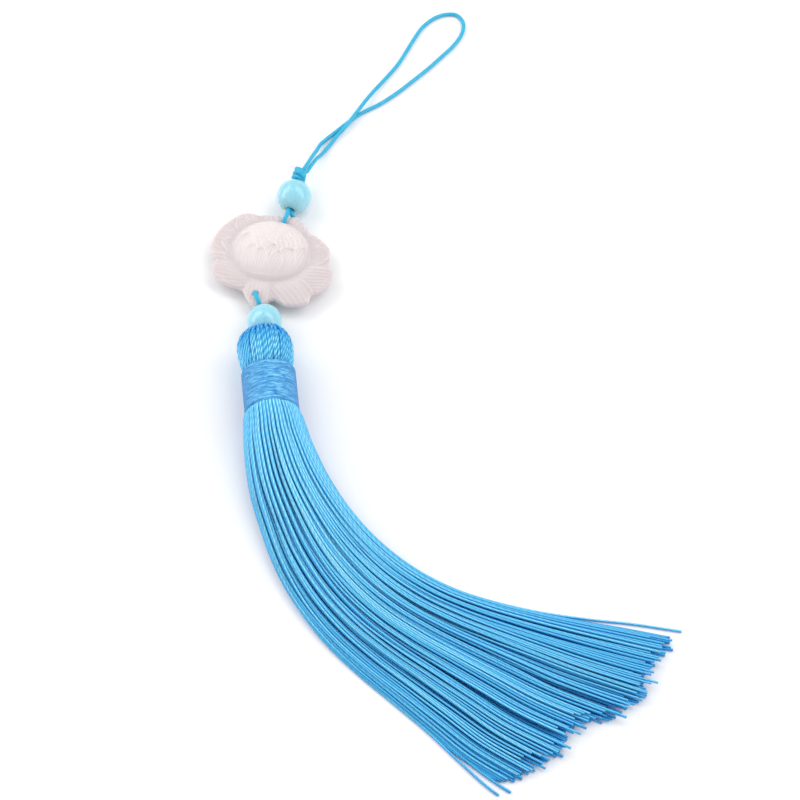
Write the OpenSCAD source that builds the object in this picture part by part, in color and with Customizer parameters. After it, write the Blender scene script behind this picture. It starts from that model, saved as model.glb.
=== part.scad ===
// Jade tassel pendant, lying face up on a flat surface.
// A thin cord loop and its knot, a glass bead, a carved flower, a second bead
// and a long silk tassel, in the order in which they are strung.
// +Z is up, +Y runs towards the hanging loop and z = 0 is the surface below.

/* [Hanging loop] */
// Diameter of the cord of the hanging loop
loop_cord_d = 0.9; // [0.7:0.05:1]
// Diameter of the cord that ties the beads and the flower
tie_cord_d = 1.05; // [0.8:0.05:1.05]

/* [Stop knot] */
// Outside diameter of the knot
knot_d = 3.3; // [3:0.1:3.6]
// Number of turns that the knot shows
knot_turns = 3; // [2:1:3]

/* [Beads] */
// Diameter of both round beads
bead_d = 8; // [7.6:0.1:8]
// Diameter of the bore through each bead
bead_bore_d = 2.3; // [2.2:0.1:2.6]

/* [Carved flower] */
// Height of the flower's middle above the surface it lies on
flower_h = 8.8; // [7.6:0.2:10]
// Diameter of the flat foot on its back
flower_foot_d = 10; // [6:1:11]
// Diameter of the two cord holes
flower_hole_d = 2; // [1.8:0.1:2.2]
// Distance of the upper cord hole from the flower's middle
upper_hole_reach = 9.5; // [9.4:0.1:9.6]
// Distance of the lower cord hole from the flower's middle
lower_hole_reach = 10.5; // [10.4:0.1:10.6]

/* [Tassel] */
// Largest diameter of the rounded head
head_d = 12.6; // [12:0.1:12.6]
// Length of the rounded head above the wrap
head_h = 10.8; // [10:0.1:10.8]
// Outside diameter of the thread wrap
wrap_d = 12.1; // [11.6:0.1:12.1]
// Length of the thread wrap
wrap_h = 10.4; // [9:0.2:10.4]
// Thickness of the wound thread
wrap_wall = 0.8; // [0.6:0.1:1]
// Gap between neighbouring pieces
gap = 0.1; // [0.05:0.05:0.15]

/* [Hidden] */
$fn = 64;

// Places are middles, turns are degrees from +Y towards -X, and tilts are
// degrees above the surface, both read towards the hanging loop.
upper_bead_at = [-31.9, 70.1, bead_d / 2];
upper_bead_turn = -13;
upper_bead_tilt = 4;
flower_at = [-37, 53, 0];
flower_turn = -17.5;
lower_bead_at = [-37.9, 35.5, bead_d / 2];
lower_bead_turn = 15;
lower_bead_tilt = -12;
wrap_top_at = [-36.6, 20.4, wrap_d / 2];
wrap_turn = 6;
head_turn = 8;
head_tilt = 2.6;

// The knot sits on the upper bead, so its first turn clears the bead.
knot_cord_d = 1.1;
knot_ring_r = (knot_d - knot_cord_d) / 2;
knot_pitch = 0.98;
knot_start = sqrt(pow(bead_d / 2 + knot_cord_d / 2 + gap, 2) - pow(knot_ring_r, 2));
knot_core_start = bead_d / 2 + 2 * gap;
knot_end = knot_start + (knot_turns - 1) * knot_pitch + knot_cord_d / 2;

// How deep the lower tie runs into the head, past the bead's surface
tie_socket_depth = 4;
// The head's widest place is at this share of its height. Its sides draw in
// below that over head_waist degrees of arc, and its crown rounds over
// head_crown degrees to the dimple where the cord goes in.
head_widest = 0.57;
head_waist = 22;
head_crown = 76;
head_dimple = 0.6;
head_steps = 16;
// How far the thread bundle runs up into the head
core_lap = 1;
// Radius of the thread bundle inside the wrap
core_r = wrap_d / 2 - wrap_wall - gap;

// Route of the hanging loop: out of the knot, down to the surface, round the
// far end, and back over its own first leg in a low hump.
loop_route = [
    [-30.1, 77, 4.5], [-29.35, 78.95, 4.5], [-28.2, 82.2, 3.3], [-27.3, 84.7, 1.9],
    [-26.2, 87.3, 0.9], [-25, 89, 0.5], [-22.6, 91.4, 0.5], [-19.9, 94, 0.5],
    [-16.6, 96.9, 0.5], [-12.3, 99.6, 0.5], [-8, 103.1, 0.5], [-4.5, 106.5, 0.5],
    [-0.9, 110.1, 0.5], [2.5, 113.9, 0.5], [5.6, 117.6, 0.5], [7.5, 121.2, 0.5],
    [7.7, 124.4, 0.5], [6.1, 126.7, 0.5], [3.2, 126.8, 0.5], [0.4, 125.4, 0.5],
    [-2.2, 122.7, 0.5], [-4.3, 118.9, 0.5], [-6.2, 115, 0.5], [-8.2, 111.2, 0.5],
    [-11, 107.1, 0.6], [-13.7, 103.2, 0.9], [-15.9, 99.6, 1.3], [-18, 95.9, 1.5],
    [-20.2, 92.6, 1.2], [-22.4, 89.8, 0.8], [-24.3, 86.9, 0.6], [-25.9, 84, 1.3],
    [-26.9, 81.8, 2.3], [-27.8, 79.85, 3.3], [-28.5, 78.4, 3.9], [-29.1, 76.85, 4.3]];

// Outline of the carved flower, seen from the front in its own frame: +Y points to
// the upper bead. Each row is a direction from +X and the reach of the outline
// there, with a row for each petal tip and notch and a few between them.
flower_outline = [
    [0, 14.9], [12, 13.4], [29, 13.6], [40, 12.6], [57, 11.3], [70, 12.2], [84, 12.7],
    [92, 11.2], [100, 12.1], [122, 12.6], [135, 14.2], [153, 14.3], [178, 14.3],
    [192, 13.5], [201, 12.6], [209, 13.7], [228, 12.6], [250, 10.6], [262, 12],
    [275, 13.5], [291, 11.3], [302, 13.2], [322, 15], [330, 13.9], [340, 14.6]];
// Front of the stone from its middle to its rim: share of the outline, height
// above the foot as a share of the flower's height, carved ripple in mm
flower_front = [
    [0.14, 0.995, 0], [0.27, 0.955, 0.12], [0.38, 0.88, 0.2], [0.48, 0.78, 0.25],
    [0.56, 0.66, 0.3], [0.61, 0.54, 0.2], [0.64, 0.47, 0], [0.7, 0.495, 0.1],
    [0.78, 0.49, 0.2], [0.86, 0.465, 0.25], [0.93, 0.43, 0.25], [1, 0.37, 0.2]];
// Back of the stone from its rim to its foot: share of the outline, height in mm
flower_back = [[0.985, 2.5], [0.93, 2.2], [0.84, 1.75], [0.7, 1.05], [0.55, 0.45]];
flower_angles = 90;
// The bud takes up this share of the outline and shows this many petals.
bud_share = 0.63;
bud_petals = 9;

// The skirt's threads leave the wrap and fan out as they sweep to the right.
// Each row is one section: x, y, width, turn of the section, height.
skirt_sections = [
    [-35.4, 9.6, 12.2, 5, 11.4], [-34.8, 6.6, 13.8, 5, 11], [-33.95, 2.4, 15.5, 6, 10.2],
    [-31.35, -6.35, 18.2, 9, 9], [-27.4, -15.2, 21, 12, 8], [-22.6, -23.4, 24.4, 16, 6.9],
    [-16.6, -30.85, 27.8, 20, 5.9], [-9.5, -37.2, 31.3, 24, 5.2], [-1.5, -42.4, 35, 29, 4.6],
    [6.8, -46.8, 39.2, 33, 4.1], [15.2, -51.05, 43.9, 37, 3.7], [23.5, -55.15, 48.6, 41, 3.3],
    [32.3, -58.8, 52.2, 43, 3]];
// A further section that only the longest threads reach into
skirt_beyond = [41.3, -62.3, 55.6, 45, 2.6];
// How far into it they reach: place from the left edge at -1 to the right one at 1,
// and share of the way
skirt_tips = [[-1, 0], [-0.8, 0.1], [-0.3, 0.13], [-0.08, 0.28], [0.07, 0.48],
              [0.35, 0.47], [0.5, 0.33], [0.65, 0.15], [0.85, 0.05], [1, 0]];
skirt_sides = 32;
// Height of a section's widest point, and how flat its underside is
skirt_belly = 0.42;
skirt_flatness = 0.6;

// Tube along a smooth route

function unit(v) = v / norm(v);

// Point between p[i] and p[i + 1] on the smooth curve through all of p
function spline_point(p, i, t) =
    let (a = p[max(i - 1, 0)], b = p[i], c = p[i + 1], d = p[min(i + 2, len(p) - 1)])
    0.5 * (2 * b + (c - a) * t + (2 * a - 5 * b + 4 * c - d) * t * t
           + (3 * b - a - 3 * c + d) * t * t * t);

function smooth(p, steps) = concat(
    [for (i = [0 : len(p) - 2], k = [0 : steps - 1]) spline_point(p, i, k / steps)],
    [p[len(p) - 1]]);

function tangents(q) =
    [for (i = [0 : len(q) - 1]) unit(q[min(i + 1, len(q) - 1)] - q[max(i - 1, 0)])];

function square_to(v, t) = unit(v - (v * t) * t);

// A vector square to the route, carried along it without twisting
function carried(ts, seed) =
    [for (i = 0, v = square_to(seed, ts[0]); i < len(ts);
          i = i + 1, v = i < len(ts) ? square_to(v, ts[i]) : v) v];

// Closed skin over rings of n points each, with flat ends. Where the last ring
// isn't flat, its end is closed by strips between its upper and lower points.
module skin(rings, strips = false) {
    n = len(rings[0]);
    last = len(rings) - 1;
    polyhedron(
        points = [for (ring = rings, p = ring) p],
        faces = concat(
            [[for (k = [0 : n - 1]) k]],
            [for (i = [0 : last - 1], k = [0 : n - 1])
                let (a = i * n + k, b = i * n + (k + 1) % n)
                [a, a + n, b + n, b]],
            strips ? [for (k = [0 : n / 2 - 1])
                [for (corner = k == 0 ? [1, 0, n - 1]
                               : k == n / 2 - 1 ? [k + 1, k, n - k]
                               : [k + 1, k, n - k, n - k - 1]) last * n + corner]]
                : [[for (k = [n - 1 : -1 : 0]) last * n + k]]));
}

module cord(route, d, steps, sides = 8) {
    q = smooth(route, steps);
    ts = tangents(q);
    vs = carried(ts, [0.3, 0.2, 1]);
    skin([for (i = [0 : len(q) - 1])
        [for (k = [0 : sides - 1])
            let (a = 360 * k / sides)
            q[i] + d / 2 * (cos(a) * vs[i] + sin(a) * cross(vs[i], ts[i]))]]);
}

// Puts a shape's +Z axis on a line through a place, in a given heading
module along(at, turn, tilt) {
    translate(at) rotate([0, 0, turn]) rotate([tilt - 90, 0, 0]) children();
}

// A point given along, across and above an axis through a place
function axis_point(at, turn, tilt, run, side, rise) =
    let (c = cos(turn), s = sin(turn), ct = cos(tilt), st = sin(tilt))
    at + run * [-s * ct, c * ct, st] + side * [c, s, 0] + rise * [s * st, -c * st, ct];

function on_upper_bead(run, side, rise) =
    axis_point(upper_bead_at, upper_bead_turn, upper_bead_tilt, run, side, rise);

function on_lower_bead(run, side, rise) =
    axis_point(lower_bead_at, lower_bead_turn, lower_bead_tilt, run, side, rise);

function on_flower(x, y, z) =
    flower_at + [x * cos(flower_turn) - y * sin(flower_turn),
                 x * sin(flower_turn) + y * cos(flower_turn), z];

module hanging_loop() {
    color("deepskyblue") cord(loop_route, loop_cord_d, 2);
}

module stop_knot() {
    color("deepskyblue")
    along(upper_bead_at, upper_bead_turn, upper_bead_tilt) {
        translate([0, 0, knot_core_start])
            cylinder(r = knot_ring_r, h = knot_end - knot_core_start - 2 * gap);
        for (i = [0 : knot_turns - 1])
            translate([0, 0, knot_start + i * knot_pitch])
                rotate_extrude() translate([knot_ring_r, 0]) circle(d = knot_cord_d);
    }
}

module bead(at, turn, tilt) {
    color("paleturquoise")
    difference() {
        translate(at) sphere(d = bead_d);
        along(at, turn, tilt) cylinder(d = bead_bore_d, h = 2 * bead_d, center = true);
    }
}

module upper_bead() {
    bead(upper_bead_at, upper_bead_turn, upper_bead_tilt);
}

module lower_bead() {
    bead(lower_bead_at, lower_bead_turn, lower_bead_tilt);
}

// One cord: down the bore, over the front of the flower, through its upper
// hole, behind the stone in a slack bight, and back up the bore.
module upper_tie() {
    // In the bore the two runs lie beside and above each other.
    aside = 0.6 * (tie_cord_d / 2 + 0.02);
    above = 0.8 * (tie_cord_d / 2 + 0.02);
    reach = upper_hole_reach;
    top = knot_start - knot_cord_d / 2 - 0.03;
    color("deepskyblue")
    cord([
        on_upper_bead(top, -aside, above), on_upper_bead(1, -aside, above),
        on_upper_bead(-2.4, -aside, above), on_upper_bead(-4.2, -aside, 0.5),
        on_flower(0.1, reach + 2.3, 5.15),
        on_flower(0, reach + 1, 5.05), on_flower(0, reach + 0.2, 4.6),
        on_flower(0, reach, 3.6), on_flower(0, reach, 1.8), on_flower(0.15, reach + 0.25, 1),
        on_flower(0.9, reach + 0.9, 0.62), on_flower(2, reach + 1.5, 0.6),
        on_flower(2.5, reach + 2.4, 0.75), on_flower(1.9, reach + 3.3, 1.4),
        on_flower(0.9, reach + 3.9, 2.4), on_upper_bead(-4.1, aside, -0.4),
        on_upper_bead(-2.4, aside, -above), on_upper_bead(1, aside, -above),
        on_upper_bead(top, aside, -above)],
        tie_cord_d, 2);
}

// The tassel's own cord: out of the head, up the bore of the lower bead and
// round the bottom edge of the flower through its lower hole.
module lower_tie() {
    r = tie_cord_d / 2 + 0.02;
    reach = lower_hole_reach;
    bottom = -bead_d / 2 - tie_socket_depth + 0.5;
    color("deepskyblue")
    cord([
        on_lower_bead(bottom, 0, r), on_lower_bead(0, 0, r), on_lower_bead(2.4, 0, r),
        on_lower_bead(4.1, 0, 0.6), on_flower(1.5, -reach - 2.2, 4.75),
        on_flower(0.6, -reach - 1.1, 5.1), on_flower(0.05, -reach - 0.2, 4.75),
        on_flower(0, -reach, 3.6), on_flower(0, -reach, 1.8),
        on_flower(0.1, -reach - 0.25, 1), on_flower(0.6, -reach - 1, 0.62),
        on_flower(1.2, -reach - 1.8, 0.75), on_flower(1.8, -reach - 2.6, 1.4),
        on_lower_bead(4.1, 0, -0.58), on_lower_bead(2.4, 0, -r), on_lower_bead(0, 0, -r),
        on_lower_bead(bottom, 0, -r)],
        tie_cord_d, 2);
}

// The outline's rows once more, with its end before them and its start after them
outline_rows = concat(
    [flower_outline[len(flower_outline) - 1] - [360, 0]], flower_outline,
    [for (i = [0, 1]) flower_outline[i] + [360, 0]]);
outline_reaches = [for (row = outline_rows) row[1]];

// Reach of the outline in a direction from 0 to 360
function flower_reach(a) =
    let (i = max([for (k = [0 : len(flower_outline)]) outline_rows[k][0] <= a ? k : 0]),
         t = (a - outline_rows[i][0]) / (outline_rows[i + 1][0] - outline_rows[i][0]))
    spline_point(outline_reaches, i, t);

// The bud in the middle has its own ring of petals. Round it the relief follows the
// outline: it is highest where the outline reaches furthest and lowest in its notches.
function ripple(a, share) =
    share < bud_share ? cos(bud_petals * a)
        : 2 * (flower_reach(a) - min(outline_reaches))
            / (max(outline_reaches) - min(outline_reaches)) - 1;

function flower_ring(share, height, depth) =
    [for (k = [0 : flower_angles - 1])
        let (a = 360 * k / flower_angles, r = share * flower_reach(a))
        on_flower(r * cos(a), r * sin(a), height + depth * ripple(a, share))];

function foot_ring() =
    [for (k = [0 : flower_angles - 1])
        let (a = 360 * k / flower_angles)
        on_flower(flower_foot_d / 2 * cos(a), flower_foot_d / 2 * sin(a), 0)];

module carved_flower() {
    color("whitesmoke")
    difference() {
        skin(concat(
            [foot_ring()],
            [for (i = [len(flower_back) - 1 : -1 : 0])
                flower_ring(flower_back[i][0], flower_back[i][1], 0)],
            [for (i = [len(flower_front) - 1 : -1 : 0])
                flower_ring(flower_front[i][0], flower_front[i][1] * flower_h,
                            flower_front[i][2])]));
        for (y = [upper_hole_reach, -lower_hole_reach])
            translate(on_flower(0, y, -1))
                cylinder(d = flower_hole_d, h = flower_h + 2);
    }
}

// Half outline of the head, from its base up to the dimple
function head_outline() =
    let (widest = head_widest * head_h, crown = head_h - widest)
    concat(
        [[0, 0]],
        [for (k = [0 : head_steps])
            let (a = -head_waist + (head_waist + head_crown) * k / head_steps,
                 reach = a < 0 ? widest / sin(head_waist) : crown / sin(head_crown))
            [head_d / 2 * cos(a), widest + reach * sin(a)]],
        [[0, head_h - head_dimple]]);

module tassel_head() {
    color("dodgerblue")
    difference() {
        union() {
            along(wrap_top_at, head_turn, head_tilt)
                translate([0, 0, 4 * gap]) rotate_extrude() polygon(head_outline());
            along(wrap_top_at, wrap_turn, 0)
                translate([0, 0, gap - wrap_h / 2]) cylinder(r = core_r, h = wrap_h / 2 + core_lap);
        }
        along(lower_bead_at, lower_bead_turn, lower_bead_tilt)
            translate([0, 0, -bead_d / 2 - tie_socket_depth])
                cylinder(d = bead_bore_d, h = tie_socket_depth + bead_d / 2);
    }
}

module neck_wrap() {
    edge = 0.2;
    inner = wrap_d / 2 - wrap_wall;
    color("steelblue")
    along(wrap_top_at, wrap_turn, 0)
        translate([0, 0, -wrap_h])
            rotate_extrude()
                polygon([
                    [inner, 0], [wrap_d / 2 - edge, 0], [wrap_d / 2, edge],
                    [wrap_d / 2, wrap_h - edge], [wrap_d / 2 - edge, wrap_h],
                    [inner, wrap_h]]);
}

// One section of the skirt: an oval with a flat underside that lies on z = 0
function skirt_ring(row) =
    [for (k = [0 : skirt_sides - 1])
        let (a = 360 * k / skirt_sides,
             side = row[2] / 2 * cos(a),
             rise = sin(a) >= 0 ? skirt_belly + (1 - skirt_belly) * sin(a)
                                : skirt_belly * (1 - pow(-sin(a), skirt_flatness)))
        [row[0] + side * cos(row[3]), row[1] + side * sin(row[3]), row[4] * rise]];

function core_ring(run) =
    [for (k = [0 : skirt_sides - 1])
        let (a = 360 * k / skirt_sides)
        axis_point(wrap_top_at, wrap_turn, 0, run, core_r * cos(a), core_r * sin(a))];

// The tips: each point of the last section, moved on into the section beyond it
function tip_ring() =
    let (here = skirt_ring(skirt_sections[len(skirt_sections) - 1]),
         there = skirt_ring(skirt_beyond))
    [for (k = [0 : skirt_sides - 1])
        here[k] + (there[k] - here[k]) * lookup(cos(360 * k / skirt_sides), skirt_tips)];

module tassel_skirt() {
    rows = smooth(skirt_sections, 2);
    color("dodgerblue")
    skin(concat(
        [core_ring(-wrap_h / 2 - gap), core_ring(-wrap_h - gap)],
        [for (i = [0 : len(rows) - 2]) skirt_ring(rows[i])], [tip_ring()]), strips = true);
}

hanging_loop();
stop_knot();
upper_bead();
upper_tie();
carved_flower();
lower_tie();
lower_bead();
tassel_head();
neck_wrap();
tassel_skirt();
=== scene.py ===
import bpy
import numpy as np
from mathutils import Matrix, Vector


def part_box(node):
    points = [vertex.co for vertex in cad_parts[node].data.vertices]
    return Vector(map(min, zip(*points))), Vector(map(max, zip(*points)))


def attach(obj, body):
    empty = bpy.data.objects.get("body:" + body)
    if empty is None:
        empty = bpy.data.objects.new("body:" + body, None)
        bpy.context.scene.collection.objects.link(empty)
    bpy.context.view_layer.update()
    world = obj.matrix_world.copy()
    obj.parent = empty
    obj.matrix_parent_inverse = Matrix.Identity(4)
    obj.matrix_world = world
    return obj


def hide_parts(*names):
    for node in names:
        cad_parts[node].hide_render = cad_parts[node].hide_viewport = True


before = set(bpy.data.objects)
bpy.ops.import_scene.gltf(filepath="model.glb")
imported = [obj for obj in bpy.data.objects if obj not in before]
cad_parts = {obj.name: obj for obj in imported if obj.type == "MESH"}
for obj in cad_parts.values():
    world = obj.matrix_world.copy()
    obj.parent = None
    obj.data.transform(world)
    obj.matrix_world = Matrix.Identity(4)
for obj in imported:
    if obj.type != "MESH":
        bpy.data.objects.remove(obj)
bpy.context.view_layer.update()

# Camera
# The pendant is photographed from the front through a long lens that looks down
# on it at 58 degrees. Lengths here are in metres, so real sizes are written as
# millimetres times mm.
mm = 0.001
photo_width = 800
focal_length_px = 2925
sensor_width = 36
camera_pitch = np.radians(58)
camera_distance = 650 * mm
camera_target = mm * np.array([-7.5, 17.2, 0])

camera_data = bpy.data.cameras.new("studio_camera")
camera_data.sensor_width = sensor_width
camera_data.lens = focal_length_px / photo_width * sensor_width
camera_data.clip_start = 0.01
camera = bpy.data.objects.new("studio_camera", camera_data)
camera.location = camera_target + camera_distance * np.array(
    [0, -np.cos(camera_pitch), np.sin(camera_pitch)])
camera.rotation_euler = (np.pi / 2 - camera_pitch, 0, 0)
bpy.context.collection.objects.link(camera)
bpy.context.scene.camera = camera
bpy.context.scene.view_settings.view_transform = "Standard"

# Hanging loop
# A thin nylon cord, braided round and tight from eight strands. It leaves the
# knot, lies on the surface as a long drop shape and comes back over its own
# first leg. Both of its ends are caught in the knot.
loop_cord_d = 0.9 * mm
loop_route = mm * np.array([
    [-30.1, 77, 4.5], [-29.05, 78.95, 4.5], [-27.9, 82.2, 3.3], [-27.1, 84.7, 1.9],
    [-26.2, 87.3, 0.9], [-25, 89, 0.5], [-22.6, 91.4, 0.5], [-19.9, 94, 0.5],
    [-16.6, 96.9, 0.5], [-12.3, 99.6, 0.5], [-8, 103.1, 0.5], [-4.5, 106.5, 0.5],
    [-0.9, 110.1, 0.5], [2.5, 113.9, 0.5], [5.6, 117.6, 0.5], [7.5, 121.2, 0.5],
    [7.7, 124.4, 0.5], [6.1, 126.7, 0.5], [3.2, 126.8, 0.5], [0.4, 125.4, 0.5],
    [-2.2, 122.7, 0.5], [-4.3, 118.9, 0.5], [-6.2, 115, 0.5], [-8.2, 111.2, 0.5],
    [-11, 107.1, 0.6], [-13.7, 103.2, 0.9], [-15.9, 99.6, 1.3], [-18, 95.9, 1.5],
    [-20.2, 92.6, 1.2], [-22.4, 89.8, 0.8], [-24.3, 86.9, 0.6], [-25.9, 83.9, 1.5],
    [-26.98, 81.87, 2.6], [-27.7, 80.1, 3.4], [-28.32, 78.6, 3.95], [-29.1, 76.85, 4.3]])
upward = np.array([0, 0, 1.0])
braid_sides = 24
braid_step = 0.09 * mm
braid_pick = 0.55 * mm
braid_relief = 0.13


def curve_through(points, at):
    """Catmull-Rom curve through points (point, ..., xyz) at places (place, ...). At i + f
    it blends points i - 1 to i + 2, and so it passes through every point."""
    i = np.clip(at.astype(int), 0, len(points) - 2)
    f = (at - i)[..., None]
    a, b, c, d = (
        np.take_along_axis(points, np.clip(i + k, 0, len(points) - 1)[..., None], axis=0)
        for k in (-1, 0, 1, 2))
    return 0.5 * (2 * b + (c - a) * f + (2 * a - 5 * b + 4 * c - d) * f ** 2
                  + (3 * b - a - 3 * c + d) * f ** 3)


def lengths_along(path):
    """Distance along each path to each of its points: the running sum of its steps."""
    steps = np.linalg.norm(np.diff(path, axis=-2), axis=-1)
    return np.insert(np.cumsum(steps, axis=-1), 0, 0, axis=-1)


def even_path(route, step):
    """The smooth curve through a route, cut into equal steps of about this length."""
    fine = curve_through(route, np.linspace(0, len(route) - 1, 40 * len(route)))
    along = lengths_along(fine)
    even = np.linspace(0, along[-1], int(along[-1] / step) + 1)
    return np.stack([np.interp(even, along, fine[:, k]) for k in range(3)], axis=-1)


def braided(path, d, reference, squeeze=1):
    """Tube round one path, with the radius of a diamond braid times a squeeze. Four
    strands wind to the left and four to the right. Where two cross, the one on top
    shows as half a sine across its own width, and next time it is the other one."""
    along = lengths_along(path)[:, None] / braid_pick
    around = 4 * np.arange(braid_sides) / braid_sides
    left = around + along
    right = around - along
    left_on_top = (np.floor(left) + np.floor(right)) % 2 == 0
    across = np.where(left_on_top, left, right) % 1
    radii = d / 2 * (1 - braid_relief * (1 - np.sin(np.pi * across))) * squeeze
    return tubes(path[None], radii[None], reference)


def ring_quads(index):
    """Quads between neighbouring rings of numbered points (..., ring, side)."""
    ahead = np.roll(index, -1, axis=-1)
    return np.stack([index[..., :-1, :], index[..., 1:, :], ahead[..., 1:, :],
                     ahead[..., :-1, :]], axis=-1)


def angles(count):
    """Equal angles once round, from 0."""
    return 2 * np.pi * np.arange(count) / count


def tubes(paths, radii, reference, shift=0):
    """Closed tubes round paths (strand, ring, xyz) with radii (strand, ring, side).
    A ring's point is the path's point plus its radius times cos a sideways and sin a
    upwards: sideways is the step along the path crossed with the reference direction,
    and upwards is sideways crossed with the step. The texture map holds the share of
    the turn round the tube, and the length along it plus a shift in mm."""
    strands, rings, sides = radii.shape
    step = np.gradient(paths, axis=1)
    step /= np.linalg.norm(step, axis=-1, keepdims=True)
    sideways = np.cross(step, reference)
    sideways /= np.linalg.norm(sideways, axis=-1, keepdims=True)
    upwards = np.cross(sideways, step)
    a = angles(sides)[:, None]
    spokes = np.cos(a) * sideways[:, :, None] + np.sin(a) * upwards[:, :, None]
    points = paths[:, :, None] + radii[..., None] * spokes
    index = np.arange(strands * rings * sides).reshape(strands, rings, sides)
    ends = np.concatenate([index[:, 0], index[:, -1, ::-1]])
    turn = np.arange(sides) / sides
    corner_turn = turn[:, None] + [0, 0, 1 / sides, 1 / sides]
    along = (lengths_along(paths) / mm + shift)[..., None]
    near, far = along[:, :-1], along[:, 1:]
    corner_along = np.concatenate([near, far, far, near], axis=-1)[:, :, None]
    maps = [(corner_turn, corner_along), (turn, np.concatenate([along[:, 0], along[:, -1]]))]
    return (points.reshape(-1, 3), [ring_quads(index).reshape(-1, 4), ends],
            [np.stack(np.broadcast_arrays(*pair), axis=-1).reshape(-1, 2) for pair in maps])


def linear(code):
    """An sRGB hex colour as linear light: c / 12.92 near black, and above that
    ((c + 0.055) / 1.055) to the power 2.4."""
    c = np.array([int(code[k:k + 2], 16) for k in (1, 3, 5)]) / 255
    return (*np.where(c <= 0.04045, c / 12.92, ((c + 0.055) / 1.055) ** 2.4), 1)


def fill(node, inputs):
    """Fills a node's inputs: another node's output is linked, and a value is set."""
    for name, value in inputs.items():
        if isinstance(value, bpy.types.NodeSocket):
            node.id_data.links.new(value, node.inputs[name])
        else:
            node.inputs[name].default_value = value


def add_node(material, kind, settings=None, inputs=None):
    """Adds a node, sets its properties and fills its inputs."""
    made = material.node_tree.nodes.new("ShaderNode" + kind)
    for name, value in (settings or {}).items():
        setattr(made, name, value)
    fill(made, inputs or {})
    return made


def new_material(name, shader_inputs):
    """A material with only its surface shader, whose constant inputs are set here."""
    material = bpy.data.materials.new(name)
    material.use_nodes = True
    shader = material.node_tree.nodes["Principled BSDF"]
    fill(shader, shader_inputs)
    return material, shader


def mottled(material, noise_inputs, dark, light):
    """The object's own coordinates, and a colour between two that follows a noise."""
    place = add_node(material, "TexCoord").outputs["Object"]
    noise = add_node(material, "TexNoise", inputs={"Vector": place, **noise_inputs})
    colour = add_node(material, "Mix", {"data_type": "RGBA"},
                      {"Factor": noise.outputs["Fac"], 6: linear(dark), 7: linear(light)})
    return place, colour.outputs[2]


def new_piece(name, points, blocks, material, node, maps=None, shade=None):
    """A mesh of points and blocks of faces, each with its own number of corners. It
    rides on the pendant's one body and stands for that CAD node."""
    mesh = bpy.data.meshes.new(name)
    mesh.vertices.add(len(points))
    mesh.vertices.foreach_set("co", points.astype(np.float32).ravel())
    sizes = np.concatenate([np.full(len(block), block.shape[1]) for block in blocks])
    mesh.loops.add(int(sizes.sum()))
    mesh.loops.foreach_set("vertex_index", np.concatenate([block.ravel() for block in blocks]))
    mesh.polygons.add(len(sizes))
    mesh.polygons.foreach_set("loop_start", np.cumsum(sizes) - sizes)
    mesh.update(calc_edges=True)
    mesh.shade_smooth()
    if maps is not None:
        layer = mesh.uv_layers.new(name="lay")
        layer.uv.foreach_set("vector", np.concatenate(maps).astype(np.float32).ravel())
    if shade is not None:
        layer = mesh.attributes.new("shade", "FLOAT", "POINT")
        layer.data.foreach_set("value", shade.astype(np.float32))
    mesh.materials.append(material)
    piece = bpy.data.objects.new(name, mesh)
    bpy.context.collection.objects.link(piece)
    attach(piece, "root")
    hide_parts(node)
    return piece


# Braided nylon cord, dyed cyan and pulled tight: a satin thread surface with a
# little sheen, darker where its strands dip between each other.
nylon_braid, nylon_shader = new_material(
    "braided_nylon_cord", {"Roughness": 0.42, "Sheen Weight": 0.15, "Sheen Roughness": 0.4})
_, nylon_colour = mottled(
    nylon_braid, {"Scale": 1 / (1.2 * mm), "Detail": 3}, "#109fc9", "#33bde0")
fill(nylon_shader, {"Base Color": nylon_colour})

loop_path = even_path(loop_route, braid_step)
loop_points, loop_faces, _ = braided(loop_path, loop_cord_d, upward)
loop = new_piece("hanging_loop_cord", loop_points, loop_faces, nylon_braid,
                 "hanging_loop")

# Stop knot
# Both ends of the loop are tied in one tight overhand knot on top of the upper
# bead. Three slanting turns show, one strand crosses them from the upper left to
# the lower right, and one runs through the middle of them.
knot_cord_d = 1.08 * mm
knot_ring_r = 1.16 * mm
knot_off_bead = 0.45 * mm
knot_to_left = 0.2 * mm
knot_turns = 3.4
knot_first_turn = -0.6
knot_rise = 2.7 * mm
knot_slant = 0.3 * mm
# Share of the wound strand that lies flat on the bead
knot_flat = 0.2
bead_d = 8 * mm


def middle_of(node):
    """The middle of a CAD node's box."""
    return np.mean(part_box(node), axis=0)


def axis_frame(turn, tilt):
    """Three directions as rows, from degrees: along an axis turned from +Y towards -X
    and tilted above the surface, across it to the right, and square to both, upwards."""
    turn, tilt = np.radians([turn, tilt])
    c, s, ct, st = np.cos(turn), np.sin(turn), np.cos(tilt), np.sin(tilt)
    return np.array([[-s * ct, c * ct, st], [c, s, 0], [s * st, -c * st, ct]])


# A bead's middle and the directions of its axis
upper_bead = (middle_of("upper_bead"), axis_frame(turn=-13, tilt=4))


def knot_coil():
    """The wound strand: a helix round the bead's axis that starts flat on the bead and
    then rises as a power of its share. It also goes up and down once a turn, so that it
    slants down to the right in front, and draws in at both ends by powers of its share
    and of the rest."""
    share = np.linspace(0, 1, 80)
    angle = 2 * np.pi * (knot_turns * share + knot_first_turn)
    rise = knot_rise * np.clip((share - knot_flat) / (1 - knot_flat), 0, 1) ** 1.1
    slant = knot_slant * np.clip(4 * share - 0.6, 0, 1) * np.cos(angle + 0.5)
    run = bead_d / 2 + knot_off_bead + rise - slant
    reach = knot_ring_r * (1 - 0.35 * share ** 6 - 0.5 * (1 - share) ** 30)
    return np.stack([run, reach * np.cos(angle) - knot_to_left, reach * np.sin(angle)], axis=-1)


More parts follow.
